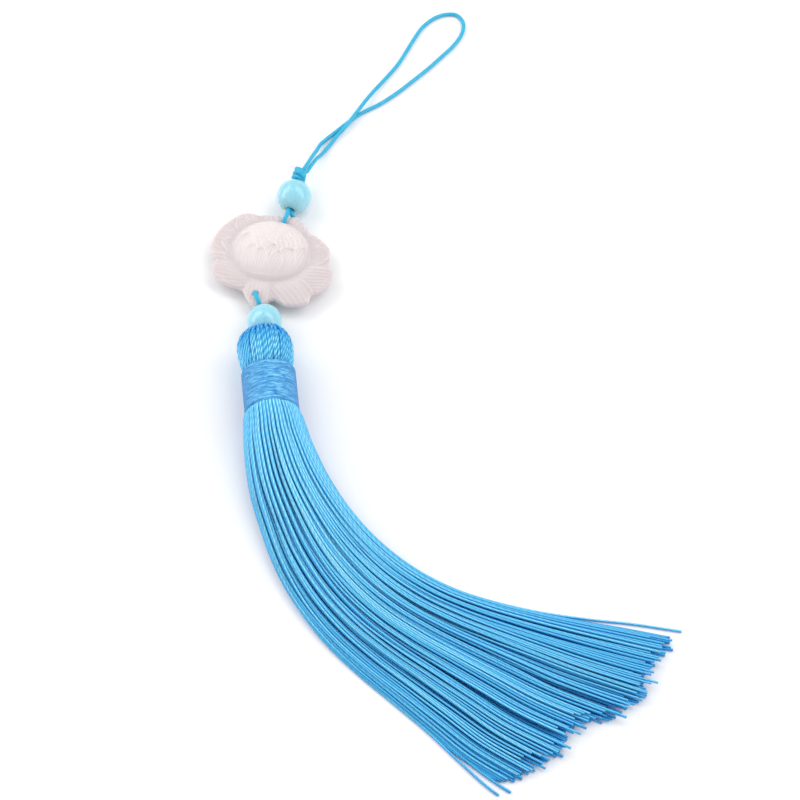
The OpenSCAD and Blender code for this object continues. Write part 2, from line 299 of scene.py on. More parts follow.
# The crossing strand comes out beside the loop and dives under the first turn.
knot_crossing = mm * np.array([
    [7.1, -0.3, 0.3], [6.8, -1, 1.1], [6.1, -0.6, 1.85], [5.3, 0.4, 1.9], [4.85, 1.05, 1.25],
    [4.7, 0.9, 0.4]])
knot_middle = mm * np.array([
    [3.95, 0, 0], [5.2, 0, 0], [6.1, 0.2, 0.1], [6.8, 0.8, 0.1], [7.35, 1.15, 0]])
knot_parts = [
    braided(even_path(upper_bead[0] + route @ upper_bead[1], braid_step), knot_cord_d,
            reference=upper_bead[1][row])
    for route, row in ((knot_coil(), 0), (knot_crossing, 0), (knot_middle, 2))]


def joined(parts):
    """Several meshes as one: later faces count on from the points before them."""
    first = np.cumsum([0] + [len(points) for points, _, _ in parts])
    blocks = [block + start for (_, faces, _), start in zip(parts, first) for block in faces]
    maps = [entry for _, _, part_maps in parts for entry in part_maps]
    return np.concatenate([points for points, _, _ in parts]), blocks, maps


knot_points, knot_faces, _ = joined(knot_parts)
new_piece("overhand_knot", knot_points, knot_faces, nylon_braid, "stop_knot")

# Glass beads
# Two round 8 mm beads of milky aqua glass, moulded, drilled and fire polished,
# so that the mouths of their bores are softly rounded.
bead_bore_d = 2 * mm
bead_mouth_r = 0.12 * mm


def bead_outline():
    """Half outline as run along the axis and distance from it: an arc of the ball, a
    small arc into the bore, the bore's wall, and the same small arc mirrored."""
    lip_reach = bead_bore_d / 2 + bead_mouth_r
    lip_run = np.sqrt((bead_d / 2 - bead_mouth_r) ** 2 - lip_reach ** 2)
    lip_angle = np.arctan2(lip_reach, lip_run)
    ball = np.linspace(np.pi - lip_angle, lip_angle, 72)
    outside = bead_d / 2 * np.stack([np.cos(ball), np.sin(ball)], axis=-1)
    lip = np.linspace(lip_angle, -np.pi / 2, 10)[1:]
    mouth = [lip_run, lip_reach] + bead_mouth_r * np.stack([np.cos(lip), np.sin(lip)], axis=-1)
    return np.concatenate([outside, mouth, mouth[::-1] * [-1, 1]])


def round_axis(run, reach, angle, place, directions):
    """Points round an axis: run goes along it, reach times cos a across it, and reach
    times sin a above it."""
    local = np.broadcast_arrays(run, reach * np.cos(angle), reach * np.sin(angle))
    return place + np.stack(local, axis=-1) @ directions


def closed_quads(rings, sides):
    """Quads of a closed outline's rings, the last of which meets the first."""
    index = np.arange(rings * sides).reshape(rings, sides)
    return ring_quads(np.concatenate([index, index[:1]])).reshape(-1, 4)


def turned(outline, place, directions, sides):
    """A closed outline of runs and reaches, carried round an axis. Its texture map is
    left at zero."""
    angle = angles(sides)
    points = round_axis(outline[:, :1], outline[:, 1:], angle, place, directions)
    quads = closed_quads(len(outline), sides)
    return points.reshape(-1, 3), [quads], [np.zeros((quads.size, 2))]


# Milky glass: light goes a little way in and comes out aqua, under a polished
# skin that mirrors the softboxes. Its milkiness is slightly cloudy.
milky_glass, glass_shader = new_material(
    "milky_aqua_glass",
    {"Roughness": 0.08, "IOR": 1.52, "Coat Weight": 0.5, "Coat Roughness": 0.11,
     "Subsurface Weight": 0.9, "Subsurface Radius": (0.5, 0.9, 1), "Subsurface Scale": 4.5 * mm})
_, glass_colour = mottled(
    milky_glass, {"Scale": 1 / (5 * mm), "Detail": 2, "Distortion": 0.6}, "#88cbdb", "#a3d2e0")
fill(glass_shader, {"Base Color": glass_colour})

lower_bead = (middle_of("lower_bead"), axis_frame(turn=15, tilt=-12))
for bead_name, bead_node, bead in (("upper_glass_bead", "upper_bead", upper_bead),
                                   ("lower_glass_bead", "lower_bead", lower_bead)):
    bead_points, bead_faces, _ = turned(bead_outline(), *bead, sides=112)
    new_piece(bead_name, bead_points, bead_faces, milky_glass, bead_node)

# Ties
# Two doubled runs of the same braided cord. The upper one comes down the upper
# bead, over the flower's top edge, through its upper hole and back behind it.
# The lower one does the same from the tassel's head through the lower bead.
tie_cord_d = 1.05 * mm
tie_squeeze = 0.12
# Both cord holes lie on the flower's own middle line, this many mm above its middle.
upper_hole = 9.5
lower_hole = -10.5
flower_at = mm * np.array([-37, 53, 0])
# The flower's own x, y and z as rows
flower_frame = axis_frame(turn=-17.5, tilt=0)[[1, 0, 2]]


def soft_step(distance, width):
    """Rises from 0 to 1 as distance goes from minus width to width: 3 k^2 - 2 k^3."""
    k = np.clip(distance / width / 2 + 0.5, 0, 1)
    return k * k * (3 - 2 * k)


def on_bead(bead, points):
    """Points in mm along, across and above a bead's axis."""
    return bead[0] + mm * np.array(points) @ bead[1]


def at_hole(hole, points):
    """Points in mm in the flower's own frame, with their y from a hole."""
    return flower_at + mm * (np.array(points) + [0, hole, 0]) @ flower_frame


# In a bead the squeezed runs lie this many mm from the axis, with a small gap. In the
# upper one they are beside and above each other.
lay = tie_cord_d / mm / 2 * (1 - tie_squeeze) + 0.03
aside, above = 0.6 * lay, 0.8 * lay
tie_top = 3.94
upper_tie_route = np.concatenate([
    on_bead(upper_bead, [[tie_top, -aside, above], [1, -aside, above],
                         [-2.4, -aside, above], [-4.2, -aside, 0.5]]),
    at_hole(upper_hole, [
        [0.1, 2.3, 5.15], [0, 1, 5.05], [0, 0.2, 4.6], [0, 0, 3.6], [0, 0, 1.8],
        [0.15, 0.25, 1], [0.9, 0.9, 0.62], [2, 1.5, 0.6], [2.5, 2.4, 0.75],
        [1.9, 3.3, 1.4], [0.9, 3.9, 2.4]]),
    on_bead(upper_bead, [[-4.1, aside, -0.4], [-2.4, aside, -above],
                         [1, aside, -above], [tie_top, aside, -above]])])
tie_bottom = -7.5
lower_tie_route = np.concatenate([
    on_bead(lower_bead, [[tie_bottom, 0, lay], [0, 0, lay], [2.4, 0, lay], [4.1, 0, 0.6]]),
    at_hole(lower_hole, [
        [1.5, -2.2, 4.75], [0.6, -1.1, 5.1], [0.05, -0.2, 4.75], [0, 0, 3.6], [0, 0, 1.8],
        [0.1, -0.25, 1], [0.6, -1, 0.62], [1.2, -1.8, 0.75], [1.8, -2.6, 1.4]]),
    on_bead(lower_bead, [[4.1, 0, -0.58], [2.4, 0, -lay], [0, 0, -lay],
                         [tie_bottom, 0, -lay]])])
# No stretch of either route runs along this direction, so the rings never flip.
tie_reference = np.array([1, -0.5, 0.15]) @ flower_frame
for tie_name, tie_node, tie_route, bead in (
        ("upper_tie_cord", "upper_tie", upper_tie_route, upper_bead),
        ("lower_tie_cord", "lower_tie", lower_tie_route, lower_bead)):
    tie_path = even_path(tie_route, braid_step)
    # The bore squeezes the two runs, which soften out of it over half a millimetre.
    inside = soft_step(bead_d / 2 - np.linalg.norm(tie_path - bead[0], axis=-1), 0.5 * mm)
    tie_points, tie_faces, _ = braided(
        tie_path, tie_cord_d, tie_reference, 1 - tie_squeeze * inside[:, None])
    new_piece(tie_name, tie_points, tie_faces, nylon_braid, tie_node)

# Carved flower
# A lotus carved in relief from one piece of milky white stone, then left frosted.
# A domed bud of overlapping petals sits in a ring of broad outer petals, and the
# back is plain and slightly domed round a flat foot.
# Outline: direction in degrees from +X, and reach in mm, with a row for each tip and
# notch and a few between them
flower_outline = np.array([
    [0, 14.9], [12, 13.4], [29, 13.6], [40, 12.6], [57, 11.3], [70, 12.2], [84, 12.7],
    [92, 11.2], [100, 12.1], [122, 12.6], [135, 14.2], [153, 14.3], [178, 14.3], [192, 13.5],
    [201, 12.6], [209, 13.7], [228, 12.6], [250, 10.6], [262, 12], [275, 13.5], [291, 11.3],
    [302, 13.2], [322, 15], [330, 13.9], [340, 14.6]])
# Petals from the backmost to the foremost, in mm in the flower's frame. Columns:
# root x and y, tip x and y, half width, sideways bend, pointedness of the tip,
# lift of the tip above what lies below, and number of veins.
outer_petals = np.array([
    [-3, 4, -5.2, 14.5, 4.2, 0.3, 0.2, 0.35, 7],
    [0.6, 4, 0.8, 14.8, 2.4, 0, 0.3, 0.5, 5],
    [3, 3.5, 5.4, 14, 4, -0.3, 0.2, 0.4, 7],
    [-5, 3, -13.6, 10.8, 4.6, 0.6, 0.2, 0.55, 8],
    [6, 2, 15.5, 7.2, 4.8, -0.5, 0.2, 0.5, 9],
    [-6, 0, -17.5, 1.4, 4.6, 0.4, 0.1, 0.5, 8],
    [-6.5, 4.5, -10.6, 8.2, 2.1, -0.3, 0.4, 0.5, 5],
    [6, 4, 9, 8.6, 2.4, 0.3, 0.4, 0.45, 5],
    [7, 0, 12.2, 5.4, 2.7, 0.4, 0.4, 0.5, 7],
    [-6.5, -1.5, -12, 1.2, 2.2, -0.6, 0.4, 0.5, 5],
    [-1, -5.5, -17, -5, 4.2, 1.3, 0.1, 0.6, 9],
    [3, -5.5, 17.5, -0.4, 3.7, -0.9, 0.1, 0.65, 9],
    [2.5, -6, 13, -13, 4.7, 0.8, 0, 0.55, 8],
    [-0.4, -6, 0.6, -15.8, 3.1, 0, 0.8, 0.5, 6]])
bud_petals = np.array([
    [-5.2, -5.2, -6.4, 3.3, 2.6, 0.7, 0.3, 0.3, 7],
    [6, -4.4, 7.1, 3.2, 2.3, -0.7, 0.3, 0.3, 6],
    [0.4, -5.8, 0.9, 0.8, 2, 0, 0.2, 0.22, 6],
    [-3.2, -5.8, -4.2, -0.2, 2.2, 0.3, 0.2, 0.2, 6],
    [3.8, -5, 4.8, 1.4, 2.1, -0.2, 0.2, 0.2, 6],
    [-1.4, -6, -1.6, -0.8, 2, 0, 0.2, 0.2, 6],
    [2, -5.6, 2.5, -0.4, 1.7, 0, 0.2, 0.2, 5]])
# Small scales fill the rest of the bud, row by row from the back: distance of their
# tips from the bud's foot, and their number over the upper half turn
bud_scales = np.array([[9.6, 10], [8.2, 10], [6.9, 9], [5.7, 8], [4.6, 7], [3.5, 6], [2.4, 4]])
bud_foot = np.array([-0.2, -0.4])
# Relief of a petal, in mm: the slope of its wall, its lip, how it cups, and its veins
petal_wall = 0.18
petal_lip = 0.15
lip_spread = 0.28
petal_cup = 0.12
vein_depth = 0.075
# Heights above the back, in mm, and the width of the seam round the bud
ring_height = 4.6
ring_fall = 1.3
rim_round = 0.35
dome_rise = 3.7
bud_base = 0.3
bowl_base = 0.1
bud_seam = 0.9
bud_middle = np.array([-0.25, 1.1])
bud_reach = np.array([8.9, 8.3])
bowl_middle = np.array([-1.4, 1.2])
bowl_reach = np.array([8.8, 7.3])
# Rough radius of both, which turns a share of their reach into mm
oval_r = 8


def outline_reach(angle):
    """Distance of the flower's outline from its middle: the smooth curve through the
    outline's rows, repeated at both ends so that it closes."""
    rows = np.concatenate([flower_outline[-2:] - [360, 0], flower_outline,
                           flower_outline[:2] + [360, 0]])
    at = np.interp(np.degrees(angle), rows[:, 0], np.arange(len(rows)))
    return curve_through(rows[:, 1:], at)[:, 0]


def lay_petal(relief, x, y, petal):
    """Lays one petal over the relief. s runs from its root to its tip, and t sideways
    from its bent midrib. Its half width grows from 0.6 at the root to 1 at s = 0.55 and
    closes at the tip, as an ellipse where it is round and as a power curve where it is
    pointed. Inside, it rises as lift times s, with a raised lip along its edge and
    veins as a cosine of t over the half width."""
    root_x, root_y, tip_x, tip_y, half, bend, pointed, lift, veins = petal
    length = np.hypot(tip_x - root_x, tip_y - root_y)
    ux, uy = (tip_x - root_x) / length, (tip_y - root_y) / length
    s = ((x - root_x) * ux + (y - root_y) * uy) / length
    t = (y - root_y) * ux - (x - root_x) * uy - 4 * bend * s * (1 - s)
    belly = 0.55
    to_tip = np.clip((s - belly) / (1 - belly), 0, 1)
    to_root = np.clip((belly - s) / belly, 0, 1)
    closing = (1 - pointed) * np.sqrt(1 - to_tip ** 2) + pointed * (1 - to_tip ** 1.6)
    width = half * closing * (1 - 0.4 * to_root ** 2)
    inside = np.where((s > 0) & (s < 1), width - np.abs(t), -1)
    across = np.clip(t / np.maximum(width, 0.2), -1, 1)
    s = np.clip(s, 0, 1)
    surface = (lift * s + petal_cup * half * across ** 2 * s
               + petal_lip * np.exp(-np.maximum(inside, 0) / lip_spread) * s
               + vein_depth * np.cos(np.pi * veins * across + 2 * s) * np.clip(2.5 * inside, 0, 1)
               * (0.3 + 0.7 * s))
    cover = soft_step(inside, petal_wall)
    return relief * (1 - cover) + surface * cover


def scale_petals():
    """The bud's scales in the same columns: each row spreads them evenly over the upper
    half turn, and every second row is set over by 0.4 of a scale."""
    rows = []
    for row, (reach, number) in enumerate(bud_scales):
        angle = np.pi * (np.arange(number) + 0.3 + 0.4 * (row % 2)) / number
        way = np.stack([np.cos(angle), np.sin(angle)], axis=-1)
        tip = bud_foot + reach * way
        fixed = np.broadcast_to([0.6 * np.pi * reach / number, 0, 0.25, 0.7, 0], (len(angle), 5))
        rows.append(np.concatenate([tip - 2.6 * way, tip, fixed], axis=-1))
    return np.concatenate(rows)


def bud_share(x, y, middle, reach):
    """Distance from an oval's middle as a share of its reach: 1 on its edge."""
    return np.hypot((x - middle[0]) / reach[0], (y - middle[1]) / reach[1])


def flower_front(x, y, share):
    """Height in mm of the carved front. The bud is a dome, and the ring round it falls
    to the rim as a power of its share. Petals are laid over both, and the bud sits in a
    smooth bowl petal that shows as a crescent below it."""
    relief = np.zeros_like(x)
    for petal in outer_petals:
        relief = lay_petal(relief, x, y, petal)
    dome_share = bud_share(x, y, bud_middle, bud_reach)
    past_bud = oval_r * (dome_share - 1)
    ring = (ring_height - ring_fall * np.clip((share - 0.6) / 0.4, 0, 1) ** 1.4
            + relief * soft_step(past_bud - bud_seam, bud_seam))
    carving = np.full_like(x, bud_base)
    for petal in np.concatenate([scale_petals(), bud_petals]):
        carving = lay_petal(carving, x, y, petal)
    past_bowl = oval_r * (bud_share(x, y, bowl_middle, bowl_reach) - 1)
    bowl = soft_step(past_bowl, 0.6) * soft_step(-2 - y, 1.5)
    carving = carving * (1 - bowl) + bowl_base * bowl
    dome = ring_height + dome_rise * np.clip(1 - dome_share ** 2, 0, 1) + carving
    on_bud = soft_step(-past_bud, bud_seam)
    return ring * (1 - on_bud) + dome * on_bud


def polar_flower(sides, front_shares, back_rows, foot_r):
    """Rings of points from the top of the bud over the rim to the middle of the foot.
    A point is at its share of the outline's reach. The front has its carved height, and
    the back the height of its row, with two circles on the foot as its last rows. A fan
    closes both middles."""
    angle = angles(sides)
    share = np.concatenate([front_shares, back_rows[:, 0]])[:, None]
    reach = share * outline_reach(angle)
    reach[-2:] = [[foot_r], [foot_r / 2]]
    x = reach * np.cos(angle)
    y = reach * np.sin(angle)
    rings, fronts = len(share), len(front_shares)
    z = np.empty_like(x)
    z[:fronts] = flower_front(x[:fronts], y[:fronts], share[:fronts])
    z[:fronts] -= rim_round * soft_step(share[:fronts] - 0.985, 0.02)
    z[fronts:] = back_rows[:, 1, None]
    index = 1 + np.arange(rings * sides).reshape(rings, sides)
    ahead = np.roll(index, -1, axis=1)
    crown = np.zeros(sides, dtype=int)
    sole = np.full(sides, 1 + rings * sides)
    fans = np.concatenate([np.stack([crown, index[0], ahead[0]], axis=-1),
                           np.stack([sole, ahead[-1], index[-1]], axis=-1)])
    top = [[0, 0, flower_front(*np.zeros((3, 1)))[0]]]
    rows = np.stack([x, y, z], axis=-1).reshape(-1, 3)
    return (np.concatenate([top, rows, [[0, 0, 0]]]),
            [ring_quads(index).reshape(-1, 4), fans])


# Back, from the rim to the foot: share of the outline, height in mm
flower_back = np.array([[0.997, 2.62], [0.985, 2.5], [0.96, 2.35], [0.93, 2.2], [0.88, 1.95],
                        [0.84, 1.75], [0.77, 1.4], [0.7, 1.05], [0.62, 0.72], [0.55, 0.45],
                        [0.4, 0], [0.2, 0]])
flower_shares = np.concatenate([np.linspace(0, 0.97, 140)[1:], np.linspace(0.975, 1, 8)])
flower_points, flower_faces = polar_flower(
    sides=540, front_shares=flower_shares, back_rows=flower_back, foot_r=5)

# Milky white stone, carved and left frosted: light spreads under the surface and
# fills the cuts, and the fine matt surface keeps only a broad soft gloss.
frosted_stone, stone_shader = new_material(
    "frosted_milky_stone",
    {"Roughness": 0.5, "IOR": 1.5, "Subsurface Weight": 0.75,
     "Subsurface Radius": (1, 0.85, 0.8), "Subsurface Scale": 2 * mm})
stone_place, stone_colour = mottled(
    frosted_stone, {"Scale": 1 / (7 * mm), "Detail": 3}, "#ded4d4", "#e5dcdc")
# Painted shade: the low, thin petals of the ring are painted darker and greyer than the raised bud,
# by height.
stone_height = add_node(frosted_stone, "SeparateXYZ", inputs={"Vector": stone_place})
stone_low_ring_shade = add_node(
    frosted_stone, "MapRange", {"interpolation_type": "SMOOTHSTEP"},
    {"Value": stone_height.outputs["Z"], "From Min": 3.5 * mm, "From Max": 7.5 * mm})
stone_shaded_colour = add_node(
    frosted_stone, "Mix", {"data_type": "RGBA"},
    {"Factor": stone_low_ring_shade.outputs["Result"], 6: linear("#d1c6c7"), 7: stone_colour})
stone_grain = add_node(
    frosted_stone, "TexNoise",
    inputs={"Vector": stone_place, "Scale": 1 / (0.25 * mm), "Detail": 2})
stone_frost = add_node(
    frosted_stone, "Bump",
    inputs={"Height": stone_grain.outputs["Fac"], "Strength": 0.5, "Distance": 0.02 * mm})
fill(stone_shader, {"Base Color": stone_shaded_colour.outputs[2], "Normal": stone_frost.outputs["Normal"]})

flower = new_piece("carved_stone_flower", flower_at + mm * flower_points @ flower_frame,
                   flower_faces, frosted_stone, "carved_flower")

# The two cord holes, 1.3 mm wide, are drilled straight through.
for hole in (upper_hole, lower_hole):
    bpy.ops.mesh.primitive_cylinder_add(
        vertices=40, radius=0.65 * mm, depth=30 * mm, location=at_hole(hole, [0, 0, 0]))
    drill = bpy.context.object
    cut = flower.modifiers.new("cord_hole", "BOOLEAN")
    cut.operation = "DIFFERENCE"
    cut.object = drill
    cut.solver = "MANIFOLD"
    drilled = bpy.data.meshes.new_from_object(
        flower.evaluated_get(bpy.context.evaluated_depsgraph_get()))
    flower.modifiers.clear()
    flower.data = drilled
    bpy.data.objects.remove(drill)

# Tassel head
# The silk threads are folded over the tie cord, so the head is a bulb of threads
# that come up out of the dimple, turn over the crown and run down to the wrap.
wrap_d = 12.1 * mm
wrap_h = 10.4 * mm
wrap_top_at = mm * np.array([-36.6, 20.4, wrap_d / mm / 2])
head_frame = axis_frame(turn=8, tilt=2.6)
head_threads = 64
head_thread_r = 0.47 * mm
head_sides = 12
head_step = 0.2 * mm
ply_pitch = 5 * mm
ply_count = 3
ply_relief = 0.3
# How far every second thread dips, inwards and along the axis
head_dip_in = 0.45 * mm
head_dip_down = 0.35 * mm
# How much thinner the wrap squeezes the threads, and over what length above it
head_squeeze = 0.35
squeeze_length = 1.1 * mm
# One thread's way over the bulb, from inside the dimple to inside the wrap: run
# above the wrap's edge and distance from the axis, to the outside of the thread
head_way = mm * np.array([
    [8.6, 1.3], [9.8, 1.45], [10.5, 2.2], [10.65, 3.2], [10.25, 4.3], [9.3, 5.3],
    [8, 6.02], [6.5, 6.3], [5, 6.26], [3.4, 6.1], [1.9, 5.9], [0.7, 5.6], [-0.4, 5.3],
    [-1.6, 5.1]])
# The rest of the bundle, under the outer threads: run and distance from the axis
head_core = mm * np.array([
    [-9, 4.9], [0.4, 4.9], [2, 5.1], [5, 5.4], [7.6, 5.2], [9, 4.3], [9.6, 3.2],
    [9.4, 2.3], [8.4, 2], [-9, 2]])


def ply_ridges(along, sides):
    """Ridges of a plied thread, from 0 between two plies to 1 on a ply: the absolute
    cosine of half the ply count times the turn, which goes round once a pitch."""
    angle = angles(sides)
    turn = angle + 2 * np.pi * along[..., None] / ply_pitch
    return np.abs(np.cos(ply_count / 2 * turn))


def thread_shade(tones, under, sides, crest, power):
    """Painted shade of each point of a bundle of threads from their tones (thread, ring):
    the full tone at a thread's crest as a painted highlight, and a share of it on its
    underside, painted as the shadow of its neighbours. In between it is a power of the
    cosine from the crest."""
    angle = angles(sides)
    lit = under + (1 - under) * np.maximum(0, np.cos(angle - crest)) ** power
    return (tones[..., None] * lit).ravel()


random = np.random.default_rng(11)
head_path = even_path(np.pad(head_way, ((0, 0), (0, 1))), head_step)[:, :2]
head_share = np.linspace(0, 1, len(head_path))
head_angle = (angles(head_threads) + random.normal(0, 0.012, head_threads))[:, None]
head_lean = random.normal(0.1, 0.02, head_threads)[:, None]
head_wave = 0.02 * np.sin(2 * np.pi * (1.3 * head_share + random.random((head_threads, 1))))
head_angle = head_angle + head_lean * head_share + head_wave
# Every second thread dips under its neighbours where they crowd on the crown.
head_dip = (np.arange(head_threads) % 2)[:, None] * soft_step(0.42 - head_share, 0.12)
head_out = (head_path[:, 1] - head_thread_r - head_dip_in * head_dip
            + random.normal(0, 0.05, (head_threads, 1)) * mm)
head_run = head_path[:, 0] - head_dip_down * head_dip
head_paths = round_axis(head_run, head_out, head_angle, wrap_top_at, head_frame)
head_shift = ply_pitch / mm * random.random((head_threads, 1))
head_ridges = ply_ridges(lengths_along(head_paths) + head_shift * mm, head_sides)
head_radii = head_thread_r * (1 - ply_relief * (1 - head_ridges))
# The wrap squeezes the threads, so dark gaps open between them just above it.
head_radii *= 1 - head_squeeze * soft_step(squeeze_length - head_run, squeeze_length)[..., None]
# Square to the axis and to the way out, so it never runs along a thread
head_reference = round_axis(0, 1, head_angle - np.pi / 2, 0, head_frame)
head_points, head_faces, head_maps = joined([
    tubes(head_paths, head_radii, head_reference, head_shift),
    turned(head_core, wrap_top_at, head_frame, sides=48)])
# Painted shade: the core under the outer threads keeps shade 0, the darkest blue of the silk.
head_shade = np.zeros(len(head_points))
# Painted shade: the threads are darker in the dimple, where they crowd, besides each thread's own
# random tone.
head_tone_and_shade = (random.uniform(0.8, 1, (head_threads, 1))
              * (1 - 0.4 * soft_step(0.5 - head_share, 0.15)))
# Painted highlight and shade: each thread is painted lighter at its crest and on its plies, and
# darker underneath and in the grooves between the plies.
head_shade[:head_radii.size] = (thread_shade(head_tone_and_shade, 0.2, head_sides, 0, 1.5)
                                * (0.25 + 0.85 * head_ridges.ravel()))

# Twisted viscose silk: smooth bright filaments laid side by side, with a glossy highlight
# along each ply. Some light goes through a thread. Its colour follows the shade attribute,
# a painted shade and highlight: a ramp from deep blue painted shade between the threads to
# a pale painted highlight on each crest, darker in the painted grooves of the plies, and
# its gloss fades where shade is painted.
silk_thread, silk_shader = new_material(
    "twisted_silk_thread",
    {"Roughness": 0.3, "Specular Tint": linear("#9be4ff"), "Subsurface Weight": 0.3,
     "Subsurface Radius": (0.4, 0.8, 1), "Subsurface Scale": 0.8 * mm})
silk_shade = add_node(silk_thread, "Attribute", {"attribute_name": "shade"})
silk_place = add_node(silk_thread, "TexCoord")
# The wave texture turns once for every 2 pi / 10 of its input.
wave_turn = 2 * np.pi / 10
silk_lay = add_node(
    silk_thread, "Mapping",
    inputs={"Vector": silk_place.outputs["UV"],
            "Scale": (ply_count * wave_turn, ply_count * wave_turn * mm / ply_pitch, 0)})
silk_ply = add_node(
    silk_thread, "TexWave", {"bands_direction": "DIAGONAL"},
    {"Vector": silk_lay.outputs["Vector"], "Scale": 1, "Phase Offset": np.pi})
# Painted shade: the grooves between the plies are darker.
silk_ply_shade = add_node(
    silk_thread, "Math", {"operation": "MULTIPLY_ADD"},
    {0: silk_ply.outputs["Fac"], 1: 0.18, 2: 0.84})
# Painted shade and highlight from the shade attribute, times the ply shade
silk_painted_shade = add_node(
    silk_thread, "Math", {"operation": "MULTIPLY"},
    {0: silk_ply_shade.outputs["Value"], 1: silk_shade.outputs["Fac"]})
silk_colour = add_node(silk_thread, "ValToRGB", inputs={"Fac": silk_painted_shade.outputs["Value"]})
silk_ramp = silk_colour.color_ramp.elements
# From a deep blue painted shade to a pale painted highlight
silk_ramp[0].color = linear("#0878cc")
silk_ramp[1].color = linear("#b6f4ff")
silk_ramp.new(0.35).color = linear("#3699d8")
silk_ramp.new(0.75).color = linear("#6cc8f4")
# The gloss fades where shade is painted.
silk_shaded_gloss = add_node(
    silk_thread, "Math", {"operation": "MULTIPLY"}, {0: silk_painted_shade.outputs["Value"], 1: 0.6})
silk_twist = add_node(
    silk_thread, "Bump",
    inputs={"Height": silk_ply.outputs["Fac"], "Strength": 1, "Distance": 0.04 * mm})
fill(silk_shader, {"Base Color": silk_colour.outputs["Color"],
                   "Specular IOR Level": silk_shaded_gloss.outputs["Value"],
                   "Normal": silk_twist.outputs["Normal"]})
new_piece("folded_thread_head", head_points, head_faces, silk_thread, "tassel_head",
          head_maps, head_shade)

# Neck wrap
# A fine blue thread wound tightly round the bundle, turn by turn, over 10 mm.
# The real turns are 0.25 mm apart, too fine to show, so they are drawn coarser.
wrap_degrees = 6
wrap_frame = axis_frame(wrap_degrees, tilt=0)
wrap_pitch = 0.36 * mm
wrap_ridge = 0.15 * mm
wrap_wall = 0.35 * mm
wrap_waver = 0.18
wrap_tones = 64
# Its edges round off by this much over this length.
wrap_rounding = 0.22 * mm
wrap_edge = 0.35 * mm
wrap_sides = 144


def wound_band():
    """A closed band round the axis. Its outside is a thread wound as a helix: at each
    turn's middle it has its full radius, and it falls by the ridge's depth as
    1 - |sin| towards the next turn. The turns waver as a product of sines of the angle,
    and the band's edges round off as a square. A turn has its own tone, which goes up
    and down as a sine. Painted shade darkens it from the top to the sides as a power of
    the sine, and the inside is painted with shade 0."""
    run = np.linspace(0, -wrap_h, int(wrap_h / wrap_pitch) * 8 + 1)
    angle = angles(wrap_sides)
    waver = wrap_waver * np.sin(2 * angle + 9 * run[:, None] / wrap_h) * np.sin(5 * angle + 1)
    turns = run[:, None] / wrap_pitch + angle / (2 * np.pi) + waver
    number = np.floor(turns).astype(int) % wrap_tones
    tight = random.uniform(0.3, 1, wrap_tones)[number]
    groove = wrap_ridge * tight * (1 - np.abs(np.sin(np.pi * turns)))
    from_edge = np.minimum(np.abs(run), wrap_h - np.abs(run))
    rounding = wrap_rounding * np.clip(1 - from_edge / wrap_edge, 0, 1) ** 2
    outside = wrap_d / 2 - groove - rounding[:, None]
    inside = np.full((2, wrap_sides), wrap_d / 2 - wrap_wall)
    reach = np.concatenate([outside, inside])
    runs = np.concatenate([run, [-wrap_h, 0]])
    points = round_axis(runs[:, None], reach, angle, wrap_top_at, wrap_frame)
    # It runs down the axis, so its quads are turned round to face outwards.
    quads = closed_quads(len(reach), wrap_sides)[:, [0, 3, 2, 1]]
    shade = 0.55 + 0.45 * random.random(wrap_tones)[number]
    shade = shade + 0.12 * np.sin(3 * angle + 2.4 * number)
    # Painted shade: the band is darker from its top towards its sides.
    shade = shade * (0.1 + 0.9 * np.clip(np.sin(angle), 0, 1) ** 0.9)
    shade = np.concatenate([np.clip(shade, 0, 1), np.zeros_like(inside)])
    return points.reshape(-1, 3), [quads], shade.ravel()


# Wound silk: the same shiny filaments, laid side by side round the neck. Fine streaks
# round it are painted from a noise, partly thread tone and partly painted sheen, and its
# colour follows the band's painted shade.
wound_thread, wound_shader = new_material(
    "wound_silk_thread", {"Roughness": 0.38, "Specular IOR Level": 0.4})
wound_place = add_node(wound_thread, "TexCoord")
wound_lay = add_node(
    wound_thread, "Mapping", {"vector_type": "TEXTURE"},
    {"Vector": wound_place.outputs["Object"], "Rotation": (0, 0, np.radians(wrap_degrees)),
     "Scale": (1.6 * mm, 0.3 * mm, 1.6 * mm)})
wound_noise = add_node(
    wound_thread, "TexNoise",
    inputs={"Vector": wound_lay.outputs["Vector"], "Scale": 1, "Detail": 2})
wound_tone_and_sheen_streak = add_node(
    wound_thread, "Math", {"operation": "MULTIPLY_ADD", "use_clamp": True},
    {0: wound_noise.outputs["Fac"], 1: 2.8, 2: -0.9})
wound_shade = add_node(wound_thread, "Attribute", {"attribute_name": "shade"})
wound_dye_and_shade = add_node(
    wound_thread, "Mix", {"data_type": "RGBA"},
    {"Factor": wound_shade.outputs["Fac"], 6: linear("#126cb4"), 7: linear("#86daff")})
wound_colour = add_node(
    wound_thread, "Mix", {"data_type": "RGBA"},
    {"Factor": wound_tone_and_sheen_streak.outputs["Value"], 6: linear("#1e80c6"), 7: wound_dye_and_shade.outputs[2]})
wound_fibre = add_node(
    wound_thread, "Bump",
    inputs={"Height": wound_tone_and_sheen_streak.outputs["Value"], "Strength": 1, "Distance": 0.03 * mm})
fill(wound_shader, {"Base Color": wound_colour.outputs[2], "Normal": wound_fibre.outputs["Normal"]})
wrap_points, wrap_faces, wrap_shade = wound_band()
new_piece("wound_neck_thread", wrap_points, wrap_faces, wound_thread, "neck_wrap",
          shade=wrap_shade)

# Tassel skirt
# About 200 plied silk threads hang from the wrap, swept to the right and fanned
# out on the surface. They lie in loose bunches, cross a little and end unevenly.
skirt_rounds = np.array([1, 5, 10, 15, 20, 26, 32, 41, 54])
skirt_threads = skirt_rounds.sum()
skirt_thread_r = 0.36 * mm
skirt_rings = 84
skirt_sides = 8
